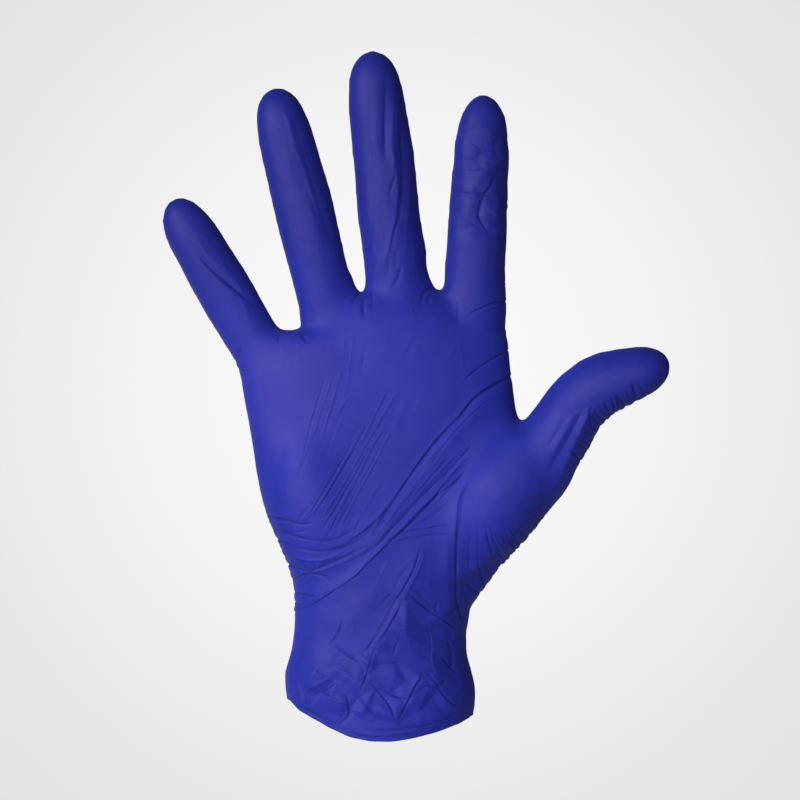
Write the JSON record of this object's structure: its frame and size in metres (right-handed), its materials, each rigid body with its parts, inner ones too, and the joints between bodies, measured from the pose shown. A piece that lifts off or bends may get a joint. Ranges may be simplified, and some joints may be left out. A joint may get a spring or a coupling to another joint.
{
  "type": "disposable nitrile glove",
  "caption": "Thin dipped glove for the right hand, shaped as worn with fingers spread: creases flex at every finger joint and at the wrist, and a rolled bead ends the cuff.",
  "frame": {"origin": "centre of the wrist opening, level with the lowest lip of the cuff", "axes": "+Z from the cuff to the fingertips, +X to the thumb side, -Y out of the palm"},
  "size_m": [0.176, 0.0487, 0.2403],
  "materials": {
    "finger_film": "satin nitrile film",
    "palm_film": "satin nitrile film",
    "cuff_film": "satin nitrile film",
    "bead": "satin nitrile film, rolled"
  },
  "bodies": {
    "cuff": {"cuff_bead": "bead", "cuff_sleeve": "cuff_film", "wrist_crease": "cuff_film"},
    "palm": {"palm_shell": "palm_film", "index_root_crease": "finger_film", "middle_root_crease": "finger_film", "ring_root_crease": "finger_film", "little_root_crease": "finger_film", "thumb_root_crease": "finger_film"},
    "index_lower": {"index_lower_stall": "finger_film", "index_middle_crease": "finger_film"},
    "index_middle": {"index_middle_stall": "finger_film", "index_tip_crease": "finger_film"},
    "index_tip": {"index_tip_stall": "finger_film"},
    "middle_lower": {"middle_lower_stall": "finger_film", "middle_middle_crease": "finger_film"},
    "middle_middle": {"middle_middle_stall": "finger_film", "middle_tip_crease": "finger_film"},
    "middle_tip": {"middle_tip_stall": "finger_film"},
    "ring_lower": {"ring_lower_stall": "finger_film", "ring_middle_crease": "finger_film"},
    "ring_middle": {"ring_middle_stall": "finger_film", "ring_tip_crease": "finger_film"},
    "ring_tip": {"ring_tip_stall": "finger_film"},
    "little_lower": {"little_lower_stall": "finger_film", "little_middle_crease": "finger_film"},
    "little_middle": {"little_middle_stall": "finger_film", "little_tip_crease": "finger_film"},
    "little_tip": {"little_tip_stall": "finger_film"},
    "thumb_base": {"thumb_base_stall": "finger_film", "thumb_tip_crease": "finger_film"},
    "thumb_tip": {"thumb_tip_stall": "finger_film"}
  },
  "joints": [
    {"name": "wrist_bend", "type": "hinge", "parent": "cuff", "child": "palm", "pos_m": [0, 0, 0.05], "axis": [1, 0, 0], "range_deg": [-50, 60], "stiffness_Nm_per_rad": 0.03, "deforming": ["wrist_crease"]},
    {"name": "index_root_bend", "type": "hinge", "parent": "palm", "child": "index_lower", "pos_m": [0.03322, -0.00231, 0.16599], "axis": [0.9986, 0, -0.0523], "range_deg": [-15, 80], "stiffness_Nm_per_rad": 0.004, "deforming": ["index_root_crease"]},
    {"name": "index_middle_bend", "type": "hinge", "parent": "index_lower", "child": "index_middle", "pos_m": [0.03424, -0.00221, 0.18546], "axis": [0.9986, 0, -0.0523], "range_deg": [0, 90], "stiffness_Nm_per_rad": 0.0015, "deforming": ["index_middle_crease"]},
    {"name": "index_tip_bend", "type": "hinge", "parent": "index_middle", "child": "index_tip", "pos_m": [0.03521, -0.00211, 0.20393], "axis": [0.9986, 0, -0.0523], "range_deg": [0, 40], "stiffness_Nm_per_rad": 0.0006, "deforming": ["index_tip_crease"]},
    {"name": "middle_root_bend", "type": "hinge", "parent": "palm", "child": "middle_lower", "pos_m": [0.00527, -0.00238, 0.16593], "axis": [0.993, 0, 0.1184], "range_deg": [-15, 80], "stiffness_Nm_per_rad": 0.004, "deforming": ["middle_root_crease"]},
    {"name": "middle_middle_bend", "type": "hinge", "parent": "middle_lower", "child": "middle_middle", "pos_m": [0.00231, -0.00234, 0.19075], "axis": [0.993, 0, 0.1184], "range_deg": [0, 90], "stiffness_Nm_per_rad": 0.0015, "deforming": ["middle_middle_crease"]},
    {"name": "middle_tip_bend", "type": "hinge", "parent": "middle_middle", "child": "middle_tip", "pos_m": [-0.00065, -0.00219, 0.21558], "axis": [0.9932, 0, 0.1164], "range_deg": [0, 40], "stiffness_Nm_per_rad": 0.0006, "deforming": ["middle_tip_crease"]},
    {"name": "ring_root_bend", "type": "hinge", "parent": "palm", "child": "ring_lower", "pos_m": [-0.02094, -0.00218, 0.16218], "axis": [0.9707, 0, 0.2402], "range_deg": [-15, 80], "stiffness_Nm_per_rad": 0.004, "deforming": ["ring_root_crease"]},
    {"name": "ring_middle_bend", "type": "hinge", "parent": "ring_lower", "child": "ring_middle", "pos_m": [-0.02635, -0.00226, 0.18402], "axis": [0.9707, 0, 0.2402], "range_deg": [0, 90], "stiffness_Nm_per_rad": 0.0015, "deforming": ["ring_middle_crease"]},
    {"name": "ring_tip_bend", "type": "hinge", "parent": "ring_middle", "child": "ring_tip", "pos_m": [-0.03177, -0.00215, 0.20586], "axis": [0.97, 0, 0.2431], "range_deg": [0, 40], "stiffness_Nm_per_rad": 0.0006, "deforming": ["ring_tip_crease"]},
    {"name": "little_root_bend", "type": "hinge", "parent": "palm", "child": "little_lower", "pos_m": [-0.04791, -0.00212, 0.14565], "axis": [0.8652, 0, 0.5015], "range_deg": [-15, 80], "stiffness_Nm_per_rad": 0.004, "deforming": ["little_root_crease"]},
    {"name": "little_middle_bend", "type": "hinge", "parent": "little_lower", "child": "little_middle", "pos_m": [-0.05619, -0.00209, 0.15993], "axis": [0.8652, 0, 0.5015], "range_deg": [0, 90], "stiffness_Nm_per_rad": 0.0015, "deforming": ["little_middle_crease"]},
    {"name": "little_tip_bend", "type": "hinge", "parent": "little_middle", "child": "little_tip", "pos_m": [-0.06447, -0.00202, 0.1742], "axis": [0.8642, 0, 0.5032], "range_deg": [0, 40], "stiffness_Nm_per_rad": 0.0006, "deforming": ["little_tip_crease"]},
    {"name": "thumb_root_bend", "type": "hinge", "parent": "palm", "child": "thumb_base", "pos_m": [0.06197, -0.01313, 0.10991], "axis": [0.5541, -0.633, -0.5406], "range_deg": [-15, 50], "stiffness_Nm_per_rad": 0.004, "deforming": ["thumb_root_crease"]},
    {"name": "thumb_tip_bend", "type": "hinge", "parent": "thumb_base", "child": "thumb_tip", "pos_m": [0.07397, -0.0161, 0.12366], "axis": [0.3304, -0.633, -0.7001], "range_deg": [0, 75], "stiffness_Nm_per_rad": 0.0015, "deforming": ["thumb_tip_crease"]}
  ]
}
